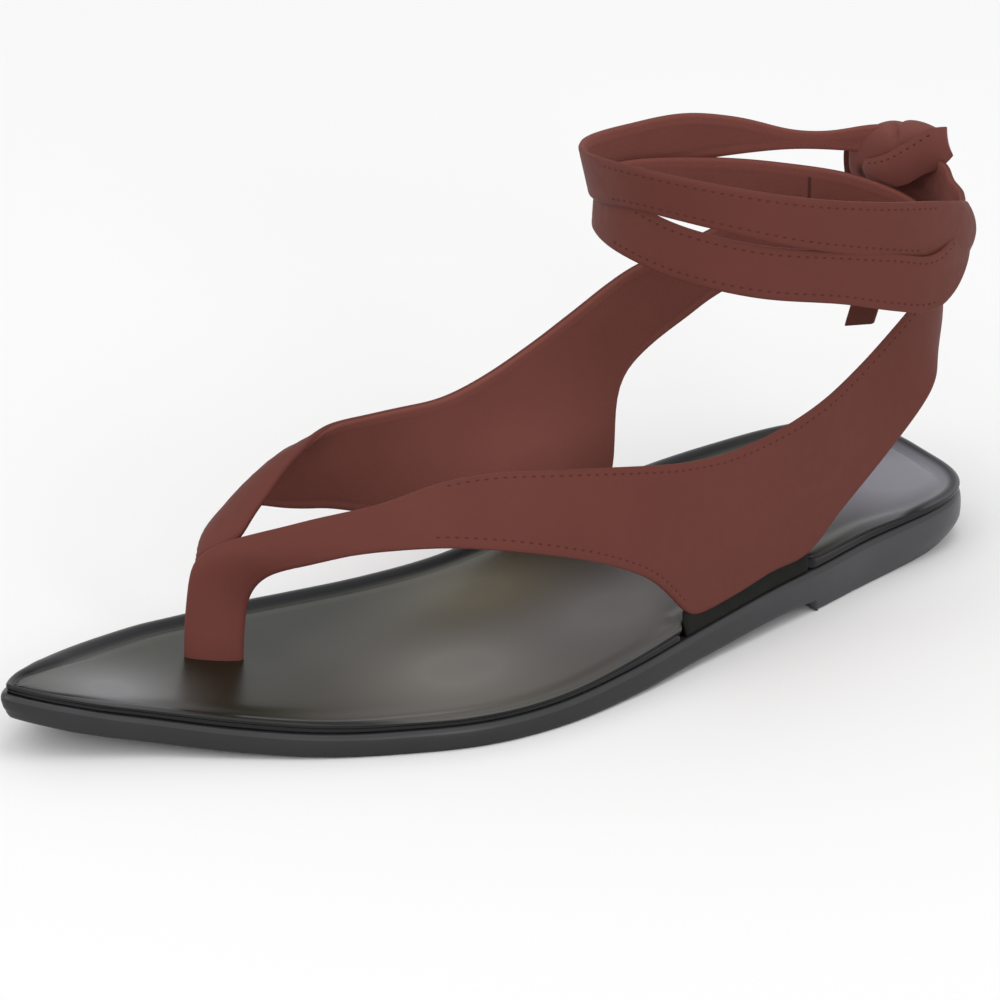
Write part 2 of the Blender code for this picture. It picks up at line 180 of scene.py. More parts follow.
def closeShell(piece):
    # grid rolled up into a closed body
    editAll()
    bpy.ops.mesh.remove_doubles(threshold=meshClean["merge"])
    bpy.ops.mesh.dissolve_degenerate(threshold=meshClean["dissolve"])
    bpy.ops.mesh.normals_make_consistent(inside=False)
    bpy.ops.object.mode_set(mode="OBJECT")
    finishShading(piece)


# Materials

def startMaterial(name, colour, roughness):
    material = bpy.data.materials.new(name)
    material.use_nodes = True
    tree = material.node_tree
    shader = tree.nodes["Principled BSDF"]
    shader.inputs["Base Color"].default_value = (*colour, 1.0)
    shader.inputs["Roughness"].default_value = roughness
    return material, tree, shader


def addNoise(tree, scale, detail):
    place = tree.nodes.new("ShaderNodeTexCoord")
    noise = tree.nodes.new("ShaderNodeTexNoise")
    noise.inputs["Scale"].default_value = scale
    noise.inputs["Detail"].default_value = detail
    tree.links.new(place.outputs["Object"], noise.inputs["Vector"])
    return noise.outputs["Fac"]


def addRange(tree, value, *ends):
    node = tree.nodes.new("ShaderNodeMapRange")
    for key, end in zip(("From Min", "From Max", "To Min", "To Max"), ends):
        node.inputs[key].default_value = end
    tree.links.new(value, node.inputs["Value"])
    return node.outputs["Result"]


def mixColours(tree, factor, first, second):
    node = tree.nodes.new("ShaderNodeMix")
    node.data_type = "RGBA"
    tree.links.new(factor, node.inputs[0])
    for value, socket in ((first, node.inputs[6]), (second, node.inputs[7])):
        if isinstance(value, tuple):
            socket.default_value = (*value, 1.0)
        else:
            tree.links.new(value, socket)
    return node.outputs[2]


def addBump(tree, shader, height, strength, distance):
    node = tree.nodes.new("ShaderNodeBump")
    node.inputs["Strength"].default_value = strength
    node.inputs["Distance"].default_value = distance
    tree.links.new(height, node.inputs["Height"])
    tree.links.new(node.outputs["Normal"], shader.inputs["Normal"])


leatherNoise = {
    "tone": (45, 3),   # scale and detail
    "toneRange": (0.35, 0.65),
    "gloss": (300, 2),
    "glossRange": (0.3, 0.7),
    "grain": (2200, 3),
    "grainHeight": 0.0002,   # metres
}
patchFull = 0.7   # how far into its fall-off a patch has its full strength


def makeLeather(name, light, dark, roughness, grain, specular=0.5, mottle=0.05):
    material, tree, shader = startMaterial(name, light, roughness)
    shader.inputs["Specular IOR Level"].default_value = specular
    noise = addNoise(tree, *leatherNoise["tone"])
    tone = addRange(tree, noise, *leatherNoise["toneRange"], 0.0, 1.0)
    tree.links.new(mixColours(tree, tone, light, dark), shader.inputs["Base Color"])
    noise = addNoise(tree, *leatherNoise["gloss"])
    gloss = addRange(tree, noise, *leatherNoise["glossRange"], roughness - mottle, roughness + mottle)
    tree.links.new(gloss, shader.inputs["Roughness"])
    addBump(tree, shader, addNoise(tree, *leatherNoise["grain"]), grain, leatherNoise["grainHeight"])
    return material


def baseColour(material):
    tree = material.node_tree
    base = tree.nodes["Principled BSDF"].inputs["Base Color"]
    return tree, base, base.links[0].from_socket


def paintLightOrShade(material, middle, reach, colour, strength):
    # soft patch of painted light or shade, middle and reach in metres
    tree, base, under = baseColour(material)
    place = tree.nodes.new("ShaderNodeTexCoord")
    mapping = tree.nodes.new("ShaderNodeMapping")
    mapping.inputs["Location"].default_value = [-m / r for m, r in zip(middle, reach)]
    mapping.inputs["Scale"].default_value = [1 / r for r in reach]
    patch = tree.nodes.new("ShaderNodeTexGradient")
    patch.gradient_type = "QUADRATIC_SPHERE"
    tree.links.new(place.outputs["Object"], mapping.inputs["Vector"])
    tree.links.new(mapping.outputs["Vector"], patch.inputs["Vector"])
    share = addRange(tree, patch.outputs["Fac"], 0.0, patchFull, 0.0, strength)
    tree.links.new(mixColours(tree, share, under, colour), base)


def addEdgeDistance(tree, layer):
    # place along an edge, and millimetres in from it
    place = tree.nodes.new("ShaderNodeUVMap")
    place.uv_map = layer
    split = tree.nodes.new("ShaderNodeSeparateXYZ")
    tree.links.new(place.outputs["UV"], split.inputs["Vector"])
    return split.outputs["X"], split.outputs["Y"]


def addMath(tree, operation, first, second):
    node = tree.nodes.new("ShaderNodeMath")
    node.operation = operation
    for value, socket in ((first, node.inputs[0]), (second, node.inputs[1])):
        if isinstance(value, float):
            socket.default_value = value
        else:
            tree.links.new(value, socket)
    return node.outputs[0]


def distanceFrom(tree, value, place):
    return addMath(tree, "ABSOLUTE", addMath(tree, "SUBTRACT", value, place), 0.0)


def addRimShade(material, layer, values):
    # painted shade: a dark trough inside the rim, less of it on the paler crest
    tree, base, under = baseColour(material)
    away = addEdgeDistance(tree, layer)[1]
    crest = addRange(tree, away, *values["crest"], values["crestShare"], 0.0)
    share = addMath(tree, "MAXIMUM", addRange(tree, away, *values["trough"], 0.0, 1.0), crest)
    tree.links.new(mixColours(tree, share, values["colour"], under), base)


def makeLining(name, values, seam=None):
    # napped lining inside a folded edge of the outer leather
    material = makeLeather(name, values["light"], values["dark"], values["roughness"],
                           values["grain"], values["specular"])
    tree, base, napped = baseColour(material)
    fromHigh = addEdgeDistance(tree, "highEdge")[1]
    along, fromLow = addEdgeDistance(tree, "lowEdge")
    nearest = addMath(tree, "MINIMUM", fromHigh, fromLow)
    folded = addRange(tree, nearest, *values["foldEnds"], 0.0, 1.0)
    colour = mixColours(tree, folded, values["edge"], napped)
    line = addRange(tree, distanceFrom(tree, nearest, values["crackAt"]), *values["crackLine"])
    if seam:
        cut = addRange(tree, distanceFrom(tree, along, seam), *values["seamLine"])
        cut = addMath(tree, "MAXIMUM", cut, addMath(tree, "SUBTRACT", 1.0, folded))
        line = addMath(tree, "MINIMUM", line, cut)
    tree.links.new(mixColours(tree, line, values["crack"], colour), base)
    return material


# napped lining; its light, dark and edge colours are paler than the outer leather, painted light for
# the shade inside the straps
lining = {
    "light": (0.198, 0.066, 0.053),
    "dark": (0.178, 0.058, 0.046),
    "edge": (0.212, 0.070, 0.056),
    "crack": (0.040, 0.014, 0.011),
    "roughness": 0.85,
    "grain": 0.5,
    "specular": 0.1,
    "foldEnds": (2.2, 3.1),   # where the folded edge fades into the lining
    "crackAt": 2.8,
    "crackLine": (0.1, 0.9, 0.93, 1.0),   # half widths, then how much of the colour stays
    "seamLine": (0.3, 0.55, 0.35, 1.0),
    "paler": (   # painted light low on the inner quarter: middle, reach, colour, strength
        (-0.0315, 0.024, 0.026), (0.04, 0.07, 0.05), (0.33, 0.115, 0.094), 1.0,
    ),
}
# painted shade of the footbed's rim trough, lighter on the crest
rimShade = {
    "crest": (1.0, 2.0),   # distances in from the edge
    "crestShare": 0.45,
    "trough": (3.4, 5.4),
    "colour": (0.006, 0.007, 0.009),
}
# painted sheen and reflections on the black footbed, paler where it would reflect the bright room
footbedSheen = (   # middle, reach, colour
    ((-0.011, -0.107, 0.011), (0.030, 0.030, 0.04), (0.176, 0.172, 0.180)),   # toe
    ((0.020, -0.030, 0.008), (0.048, 0.062, 0.05), (0.228, 0.222, 0.206)),   # ball
    ((0.020, 0.014, 0.010), (0.044, 0.056, 0.05), (0.172, 0.170, 0.172)),   # waist, outer side
    ((-0.010, -0.004, 0.009), (0.034, 0.044, 0.04), (0.145, 0.136, 0.100)),   # waist, inner side
    ((0.004, 0.112, 0.014), (0.050, 0.060, 0.05), (0.222, 0.218, 0.256)),   # heel
)
sheenStrength = 0.9
# painted light: a paler patch on the toe post, where the footbed shades it
postPaintedLight = (-0.0175, -0.074, 0.010), (0.030, 0.030, 0.038), (0.195, 0.062, 0.050), 1.0
# painted shade: a dark spot in the hollow beside the knot's wrap
knotHollowShade = (-0.02905, 0.1269, 0.0815), (0.0022, 0.0024, 0.0036), (0.022, 0.010, 0.008), 1.0
# painted highlight: a paler patch on the heel's wall
heelPaintedHighlight = (0.020, 0.100, 0.006), (0.060, 0.150, 0.06), (0.042, 0.042, 0.048), 1.0

outerLeather = makeLeather("smooth brown leather", (0.132, 0.039, 0.0305), (0.124, 0.0365, 0.0285),
                           roughness=0.62, grain=0.12, specular=0.1)
paintLightOrShade(outerLeather, *postPaintedLight)
# painted light: the knot and its wrap use a paler copy of the brown leather, where they face into the
# ankle
knotLeatherLit = makeLeather("knot leather painted lighter", (0.185, 0.061, 0.050), (0.172, 0.056, 0.046),
                          roughness=0.7, grain=0.15, specular=0.1)
paintLightOrShade(knotLeatherLit, *knotHollowShade)
# painted shade: the hanging end uses a darker copy of the brown leather, for the knot's shadow on it
tailLeatherShade = makeLeather("tie end leather painted darker", (0.094, 0.029, 0.022), (0.086, 0.026, 0.020),
                          roughness=0.75, grain=0.2, specular=0.1)
stitchThread = makeLeather("brown thread", (0.098, 0.027, 0.023), (0.086, 0.023, 0.020),
                           roughness=0.7, grain=0.2, specular=0.1)
footbedLeather = makeLeather("black footbed leather", (0.018, 0.018, 0.010), (0.014, 0.014, 0.008),
                             roughness=0.33, grain=0.004, specular=0.26, mottle=0.01)
for middle, reach, colour in footbedSheen:
    paintLightOrShade(footbedLeather, middle, reach, colour, sheenStrength)
addRimShade(footbedLeather, "rimEdge", rimShade)
# glossy black edge leather, its darker colour painted shade on the side faces under the rim
footbedEdgeShade = makeLeather("footbed edge painted darker", (0.006, 0.006, 0.007), (0.005, 0.005, 0.006),
                          roughness=0.16, grain=0.004, specular=0.28, mottle=0.01)
stripLeather = makeLeather("black quarter strip", (0.008, 0.008, 0.0065), (0.006, 0.006, 0.005),
                           roughness=0.6, grain=0.1, specular=0.15)
soleBlack = makeLeather("black sole edge", (0.009, 0.009, 0.010), (0.006, 0.006, 0.007),
                        roughness=0.38, grain=0.06, mottle=0.03)
paintLightOrShade(soleBlack, *heelPaintedHighlight)
# painted highlight: the outsole's rounded top edge is a paler black where it catches the light
soleShoulderHighlight = makeLeather("sole shoulder painted paler", (0.030, 0.030, 0.033), (0.022, 0.022, 0.024),
                           roughness=0.36, grain=0.06, mottle=0.03)


# Sole

soleShape = {
    "length": 261.5,
    "heelRound": 40.0,
    "heelSquareness": 3.1,
    "toeRound": 10.0,
    "toeSquareness": 2.0,
    "heelTaper": {"reach": 4.2, "ends": (45.0, 5.0), "height": 6.5, "power": 1.5},
    "toeTaper": {"reach": 4.0, "ends": (248.0, 261.0), "height": 5.0, "power": 2.0},
    "heelPoints": 28,
    "sidePoints": 220,
    "toePoints": 14,
    "leastStep": 0.3,
    "spineStart": 18.0,
    "fullRoom": 14.0,   # room that an inset needs to stay whole
    "leastInset": 0.3,   # share of it that stays at the toe tip
    "outline": (   # station, inner edge, outer edge
        (0, -40.0, 23.0), (40, -40.0, 23.5), (60, -39.3, 28.0), (80, -36.7, 32.0),
        (100, -34.5, 36.0), (125, -34.2, 41.3), (150, -37.5, 44.0), (170, -41.2, 41.5),
        (188, -44.1, 34.0), (205, -44.8, 24.5), (220, -42.5, 13.3), (236, -37.2, 0.5),
        (244, -33.3, -4.8), (250, -30.0, -9.0), (256, -27.0, -12.9), (262, -24.4, -15.9),
    ),
    "levels": (   # station, outsole bottom, outsole top, footbed rim
        (0, 2.8, 12.7, 14.6), (14, 2.8, 12.6, 14.6), (24, 2.8, 12.0, 14.6), (36, 2.8, 11.2, 14.6),
        (52, 2.8, 10.6, 14.6), (72, 2.8, 10.3, 14.6), (103, 1.5, 8.4, 12.4),
        (145, 0.0, 5.9, 8.5), (190, 0.0, 5.6, 8.1), (215, 1.1, 6.8, 9.5),
        (240, 4.4, 10.4, 12.9), (262, 9.2, 15.6, 17.8),
    ),
}
bottomLevel, topLevel, rimLevel = 1, 2, 3


def roundEnd(distance, length, power):
    reach = np.clip(1.0 - np.asarray(distance) / length, 0.0, 1.0)
    return np.clip(1.0 - reach ** power, 0.0, 1.0) ** (1.0 / power)


def soleEdges(station):
    inner = smoothValue(soleShape["outline"], 1, station)
    outer = smoothValue(soleShape["outline"], 2, station)
    factor = roundEnd(station, soleShape["heelRound"], soleShape["heelSquareness"])
    factor = factor * roundEnd(soleShape["length"] - station, soleShape["toeRound"],
                               soleShape["toeSquareness"])
    middle = (inner + outer) / 2
    half = (outer - inner) / 2 * factor
    return middle - half, middle + half


def soleLevel(column, station):
    return smoothValue(soleShape["levels"], column, np.clip(station, 0.0, soleShape["length"]))


def taper(values, station, height):
    # how far the wall draws in towards the floor
    low = np.clip(1 - height / values["height"], 0.0, 1.0) ** values["power"]
    return values["reach"] * easeStep(*values["ends"], station) * low


def drawnIn(station, heelHeight, toeHeight):
    heel = taper(soleShape["heelTaper"], station, heelHeight)
    return heel + taper(soleShape["toeTaper"], station, toeHeight)


def outlineRing(end=None):
    # points round the sole: heel tip, outer side, toe tip, inner side back to the heel
    length, heelRound, toeRound = (soleShape[key] for key in ("length", "heelRound", "toeRound"))
    heel = np.linspace(0, 1, soleShape["heelPoints"] + 1) ** 3 * heelRound
    side = np.linspace(heelRound, length - toeRound, soleShape["sidePoints"] + 1)
    toe = length - np.linspace(1, 0, soleShape["toePoints"] + 1) ** 2 * toeRound
    stations = np.concatenate([heel[1:-1], side, toe[1:-1]])
    last = [length]
    if end:
        stations = np.append(stations[stations < end - soleShape["leastStep"]], end)
        last = []
    inner, outer = soleEdges(stations)
    s = np.concatenate([[0.0], stations, last, stations[::-1]])
    tips = [np.mean(soleEdges(at)) for at in [0.0] + last]
    x = np.concatenate([tips[:1], outer, tips[1:], inner[::-1]])
    ring = np.stack([x, s], axis=1)
    along = np.roll(ring, -1, axis=0) - np.roll(ring, 1, axis=0)
    along /= np.linalg.norm(along, axis=1)[:, None]
    inward = np.stack([-along[:, 1], along[:, 0]], axis=1)
    spineStation = np.clip(s, soleShape["spineStart"], end if end else length - toeRound)
    spine = np.stack([np.mean(soleEdges(spineStation), axis=0), spineStation], axis=1)
    return ring, inward, spine


def roomyInset(ring, spine, inset):
    # smaller inset where the outline is narrow, and the room there is
    room = np.linalg.norm(ring - spine, axis=1)
    return inset * np.clip(room / (soleShape["fullRoom"] + inset), soleShape["leastInset"], 1.0), room


def ringRow(outline, inset, height, share=0.0):
    # one row of a sole piece: the outline moved in, then drawn to the middle line by the share
    ring, inward, spine = outline
    flat = ring + inward * roomyInset(ring, spine, inset)[0][:, None]
    flat = flat + (spine - flat) * share
    return np.column_stack([flat, height(flat[:, 1])])


def closeRow(row):
    return np.concatenate([row, row[:1]])


outsole = {
    "edge": (   # inset, height above the bottom
        (3.4, 0.0), (1.0, 0.0), (0.4, 0.1), (0.1, 0.4), (0.0, 1.2),
    ),
    "wall": (0.12, 0.25, 0.45, 0.7),   # shares of the height between edge and shoulder
    "shoulder": (  # inset, height under the top
        (0.0, 3.2), (0.1, 2.2), (0.3, 1.3), (0.65, 0.6), (1.1, 0.18), (1.7, 0.0), (2.4, 0.0),
    ),
    "shoulderRow": 14,   # rows from here up are painted paler, a painted highlight on the shoulder
    "squareEnds": (62.0, 67.0),   # the edge turns square towards the heel lift
    "leastRound": 0.02,
    "heelHeights": (2.8, 10.2),   # bottom and top that the heel's taper is worked out from
    "toeHeight": 6.0,
    "inwards": (0.33, 0.66, 1.0),   # shares of the way to the middle line
}


def makeOutsole(values):
    outline = outlineRing()
    station = outline[0][:, 1]
    heelBottom, heelTop = values["heelHeights"]
    least = values["leastRound"]
    sharp = least + (1 - least) * easeStep(*values["squareEnds"], station)
    bottom = soleLevel(bottomLevel, station)
    rows = [ringRow(outline, values["edge"][0][0], lambda s: soleLevel(bottomLevel, s), share)
            for share in values["inwards"][::-1]]
    for inset, rise in values["edge"]:
        drawn = drawnIn(station, heelBottom + rise * sharp, rise)
        rows.append(ringRow(outline, inset * sharp + drawn,
                            lambda s: soleLevel(bottomLevel, s) + rise * sharp))
    low = bottom + values["edge"][-1][1] * sharp
    high = soleLevel(topLevel, station) - values["shoulder"][0][1]
    for share in values["wall"]:
        height = low + (high - low) * share
        drawn = drawnIn(station, height, height - bottom)
        rows.append(ringRow(outline, drawn, lambda s: height))
    for inset, drop in values["shoulder"]:
        drawn = drawnIn(station, heelTop - drop, values["toeHeight"] - drop)
        rows.append(ringRow(outline, inset + drawn, lambda s: soleLevel(topLevel, s) - drop))
    rows += [ringRow(outline, values["shoulder"][-1][0], lambda s: soleLevel(topLevel, s), share)
             for share in values["inwards"]]
    piece, row = addGrid("outsole_body", [closeRow(line) for line in rows])[:2]
    piece.data.materials.append(soleBlack)
    piece.data.materials.append(soleShoulderHighlight)
    for face in piece.data.polygons:
        if min(row[index] for index in face.vertices) >= values["shoulderRow"]:
            face.material_index = 1
    closeShell(piece)
    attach(piece, "root")
    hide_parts("outsole")


heelLift = {
    "breast": 62.2,
    "height": 3.3,
    "rows": (   # inset, height
        (1.2, 0.0), (0.4, 0.05), (0.1, 0.3), (0.03, 0.8), (0.02, 2.3), (0.02, 2.9), (0.05, 3.3),
    ),
    "topInset": 0.4,
    "inwards": (0.5, 1.0),
}


def makeHeelLift(values):
    outline = outlineRing(values["breast"])
    rows = [ringRow(outline, values["rows"][0][0], lambda s: s * 0.0, share)
            for share in values["inwards"][::-1]]
    for inset, height in values["rows"]:
        drawn = taper(soleShape["heelTaper"], outline[0][:, 1], height)
        rows.append(ringRow(outline, inset + drawn, lambda s: s * 0.0 + height))
    rows += [ringRow(outline, values["topInset"], lambda s: s * 0.0 + values["height"], share)
             for share in values["inwards"]]
    piece = addGrid("heel_lift_body", [closeRow(row) for row in rows])[0]
    closeShell(piece)
    piece.data.materials.append(soleBlack)
    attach(piece, "root")
    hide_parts("heel_lift")


footbed = {
    "edge": 0.9,   # distances in from the outsole's edge
    "heelEdge": 0.35,
    "heelEnds": (8.0, 45.0),
    "innerEdge": 0.2,
    "innerEnds": (-8.0, 8.0),
    "tipEdge": 1.7,
    "tipEnds": (244.0, 261.0),
    "pocketEdge": 3.3,   # where the quarters pass the footbed
    "outerPocket": (63.0, 106.2),
    "innerPocket": (77.4, 110.4),
    "pocketRamps": ((-1.5, 0.5), (-3.0, 0.5)),
    "innerLift": 0.55,   # the rim stands higher on the inner side
    "liftReach": 10.0,
    "base": (1.6, 0.15),
    "under": (1.0, 0.5, 0.0),   # shares of the way to the middle line
    "side": (   # distance from the edge, height above the outsole
        (0.6, 0.15), (0.4, 0.35), (0.34, 0.75), (0.42, 1.1),
    ),
    "sideRoom": (1.45, 1.2, 0.05),   # height the rim takes, height a whole side needs, least share
    "rim": (   # distance from the edge, height from the rim, depth of the trough
        (0.45, -1.35, 0.0), (0.28, -1.2, 0.0), (0.07, -0.98, 0.0), (0.0, -0.74, 0.0),
        (0.08, -0.5, 0.0), (0.35, -0.27, 0.0), (0.8, -0.1, 0.0), (1.5, -0.01, 0.0),
        (2.4, 0.0, 0.1), (3.4, -0.1, 0.55), (4.4, -0.28, 0.85), (5.4, -0.44, 0.6),
        (6.4, -0.48, 0.25), (7.6, -0.42, 0.05), (10.0, -0.34, 0.0),
    ),
    "middle": -0.25,
    "inwards": (0.2, 0.4, 0.6, 0.8, 1.0),
    "edgeRows": 11,   # rows under the rim that show the darker black edge, painted shade
    "plainSide": 8.0,   # keeps the painted trough shade off the outer side
    "plainEnds": ((18.0, 42.0), (160.0, 218.0)),
    "heelBand": 0.6,   # how much narrower the painted trough shade is at the heel
    "heelBandEnds": (20.0, 60.0),
}


def makeFootbed(values):
    outline = outlineRing()
    ring, spine = outline[0], outline[2]
    station = ring[:, 1]
    outerSide = np.arange(len(ring)) < len(ring) // 2
    pocket = np.where(outerSide[:, None], values["outerPocket"], values["innerPocket"])
    back, front = values["pocketRamps"]
    deep = easeStep(*back, station - pocket[:, 0]) * easeStep(*front, pocket[:, 1] - station)
    tip = easeStep(*values["tipEnds"], station)
    inner = easeStep(*values["innerEnds"], spine[:, 0] - ring[:, 0]) * (1 - tip)
    heelEdge = values["heelEdge"]
    outer = heelEdge + (values["edge"] - heelEdge) * easeStep(*values["heelEnds"], station)
    edge = outer + (values["innerEdge"] - outer) * inner + values["tipEdge"] * tip
    edge = edge + (values["pocketEdge"] - edge) * deep
    rimRoom, sideRoom, least = values["sideRoom"]
    room = soleLevel(rimLevel, station) - soleLevel(topLevel, station)
    # low side where outsole and rim are close
    squeeze = np.clip((room - rimRoom) / sideRoom, least, 1.0)
    inset, rise = values["base"]
    rows = [ringRow(outline, edge + inset, lambda s: soleLevel(topLevel, s) + rise * squeeze, share)
            for share in values["under"]]
    for inset, rise in values["side"]:
        rows.append(ringRow(outline, edge + inset,
                            lambda s: soleLevel(topLevel, s) + rise * squeeze))
    heelEnds, toeEnds = values["plainEnds"]
    plain = outerSide * easeStep(*heelEnds, station) * (1 - easeStep(*toeEnds, station))
    for inset, rise, trough in values["rim"]:
        lift = values["innerLift"] * inner * np.clip(1.0 - inset / values["liftReach"], 0.0, 1.0)
        lift = lift - trough * (1 - plain)
        rows.append(ringRow(outline, edge + inset,
                            lambda s: soleLevel(rimLevel, s) + rise + lift))
    topInset, topRise = values["rim"][-1][:2]
    for share in values["inwards"]:
        rise = topRise + (values["middle"] - topRise) * share
        rows.append(ringRow(outline, edge + topInset,
                            lambda s: soleLevel(rimLevel, s) + rise, share))
    piece, row, column = addGrid("footbed_pad", [closeRow(line) for line in rows])
    # how far in from the edge each point lies, for the painted shade of the trough
    away = [station * 0.0] * (len(rows) - len(values["rim"]) - len(values["inwards"]))
    away += [roomyInset(ring, spine, place[0])[0] for place in values["rim"]]
    near, room = roomyInset(ring, spine, topInset)
    away += [near + (room - near) * share for share in values["inwards"]]
    narrow = 1 + values["heelBand"] * (1 - easeStep(*values["heelBandEnds"], station))
    away = np.array([closeRow(line * narrow + plain * values["plainSide"]) for line in away])
    markEdge(piece, "rimEdge", column, away[row, column])
    piece.data.materials.append(footbedLeather)
    piece.data.materials.append(footbedEdgeShade)
    for face in piece.data.polygons:
        if max(row[index] for index in face.vertices) <= values["edgeRows"]:
            face.material_index = 1
    closeShell(piece)
    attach(piece, "root")
    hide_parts("footbed")


makeOutsole(outsole)
makeHeelLift(heelLift)
makeFootbed(footbed)
print("sole made")


# Upper

lastShape = {
    "base": 3.0,
    "power": 2.5,
    "wallInset": 2.05,
    "seat": 0.4,
    "ridge": (   # station, distance across, height of the top line
        (0, -9.0, 130.0), (60, -9.0, 125.0), (80, -11.0, 112.0), (100, -14.0, 94.0),
        (131, -18.0, 74.0), (150, -20.0, 64.0), (172, -21.0, 55.5), (181, -21.3, 51.5),
        (187, -21.5, 47.8), (192, -21.6, 43.8), (197, -21.6, 39.5), (203, -21.6, 36.7),
        (210, -21.6, 34.0), (262, -20.0, 20.0),
    ),
}
ankleRing = {"x": -8.0, "station": 47.0, "halfLength": 50.0, "halfWidth": 39.5}

# quarters: station and angle round the last of the low edge, then of the high edge
outerQuarter = (
    (177.0, 49.5, 174.5, 64.9), (167.5, 44.0, 162.0, 61.8), (157.5, 37.6, 151.0, 56.4),
    (141.5, 26.5, 139.0, 47.5), (128.0, 17.1, 125.0, 37.7), (115.5, 8.4, 111.0, 29.2),
    (107.5, 2.6, 103.1, 25.1), (104.8, 1.5, 97.8, 22.8), (90.0, 0.7, 86.9, 18.9),
    (75.1, 0.8, 74.1, 16.6), (64.0, 0.8, 66.4, 16.1), (54.1, 2.5, 58.2, 16.1), (42.6, 4.5, 51.1, 16.6),
    (31.3, 7.4, 44.7, 17.5), (23.0, 10.2, 38.6, 18.8),
)
innerQuarter = (
    (159.5, 21.0, 164.0, 62.0), (148.0, 14.9, 153.0, 53.4), (136.0, 9.5, 142.0, 45.2),
    (124.0, 5.2, 131.0, 38.8), (115.0, 3.0, 121.0, 36.1), (110.5, 2.0, 114.0, 35.1),
    (107.5, 1.2, 110.0, 34.8), (98.0, 0.8, 102.0, 33.9), (87.0, 0.8, 94.0, 32.6),
    (78.5, 0.9, 88.0, 31.3), (76.0, 2.4, 84.0, 30.7), (76.4, 6.5, 81.0, 30.3), (75.4, 10.4, 78.0, 29.9),
    (71.2, 12.9, 74.0, 29.5), (65.0, 14.3, 69.0, 28.7), (53.6, 15.6, 60.0, 27.3),
)
# toe post and fork: low edge, middle and high edge as x, station, z
outerFork = (
    ((-16.4, 197.5, 4.3), (-20.1, 203.3, 4.7), (-24.7, 208.6, 4.8)),
    ((-16.4, 197.5, 10.5), (-19.9, 203.2, 11.1), (-24.4, 208.6, 11.4)),
    ((-16.3, 197.1, 16.1), (-19.8, 203.0, 17.6), (-24.3, 208.3, 18.6)),
    ((-15.9, 196.7, 21.0), (-19.4, 202.7, 23.5), (-23.7, 207.7, 25.4)),
    ((-15.0, 196.3, 24.4), (-18.6, 202.2, 27.8), (-23.1, 207.1, 30.0)),
    ((-13.4, 195.6, 27.4), (-17.4, 201.4, 31.2), (-22.6, 205.9, 33.6)),
    ((-10.3, 194.8, 30.5), (-14.2, 199.5, 34.3), (-20.0, 203.1, 36.1)),
    ((-6.2, 193.3, 33.2), (-10.3, 196.9, 37.1), (-16.8, 198.5, 38.5)),
    ((-1.2, 190.8, 35.5), (-5.4, 193.2, 39.1), (-11.9, 194.2, 41.0)),
    ((10.3, 184.3, 40.7), (4.4, 185.5, 43.9), (-2.2, 186.5, 45.8)),
)
innerFork = (
    ((-19.3, 198.1, 16.6), (-21.7, 201.8, 17.5), (-24.2, 205.2, 18.7)),
    ((-21.2, 198.1, 22.1), (-22.9, 202.0, 24.3), (-24.1, 205.2, 26.5)),
    ((-25.5, 198.6, 27.3), (-25.3, 203.1, 31.0), (-23.2, 204.4, 33.3)),
    ((-30.2, 196.8, 31.3), (-27.6, 200.8, 35.1), (-19.8, 201.2, 35.7)),
    ((-32.9, 193.2, 33.2), (-28.5, 196.5, 38.0), (-17.6, 197.9, 37.8)),
    ((-34.4, 187.8, 35.6), (-29.0, 192.1, 41.4), (-18.3, 194.2, 41.5)),
    ((-34.8, 183.0, 36.8), (-29.4, 187.6, 44.6), (-18.7, 190.2, 44.8)),
    ((-35.3, 178.3, 35.1), (-30.0, 183.3, 46.5), (-19.9, 186.1, 47.4)),
    ((-36.1, 173.0, 33.1), (-31.2, 178.0, 47.7), (-21.6, 181.6, 50.1)),
    ((-36.2, 166.4, 31.1), (-32.3, 171.0, 47.7), (-24.4, 174.3, 52.4)),
)
# turn round the ankle, height, outset, width, then lean and bulge where there are any
outerTie = (
    (36, 61.6, -7.0, 21.0), (18, 67.5, -5.4, 16.4), (0, 72.0, -4.4, 13.8), (-30, 75.6, -2.6, 13.0),
    (-60, 79.0, -1.6, 13.0), (-90, 84.0, -1.2, 13.0), (-120, 89.8, -1.6, 13.0),
    (-150, 94.3, -2.8, 13.0, -0.8), (-180, 95.8, -3.2, 13.9, -1.2), (-205, 93.4, -2.6, 13.8),
    (-230, 90.3, -1.3, 13.4), (-260, 86.0, -0.2, 13.6), (-275, 82.2, 0.6, 14.6),
    (-290, 78.6, 1.1, 14.4), (-300, 79.6, 0.8, 14.8, -0.4), (-308, 81.6, 0.3, 14.4, -1.0),
    (-316, 83.4, -0.4, 13.8, -1.6), (-328, 84.4, -1.4, 13.2, -1.4), (-342, 84.0, -3.0, 12.8),
    (-354, 83.5, -0.6, 13.8), (-366, 81.5, 2.6, 14.8), (-378, 80.6, 4.8, 13.0), (-392, 80.8, 6.6, 10.2),
)
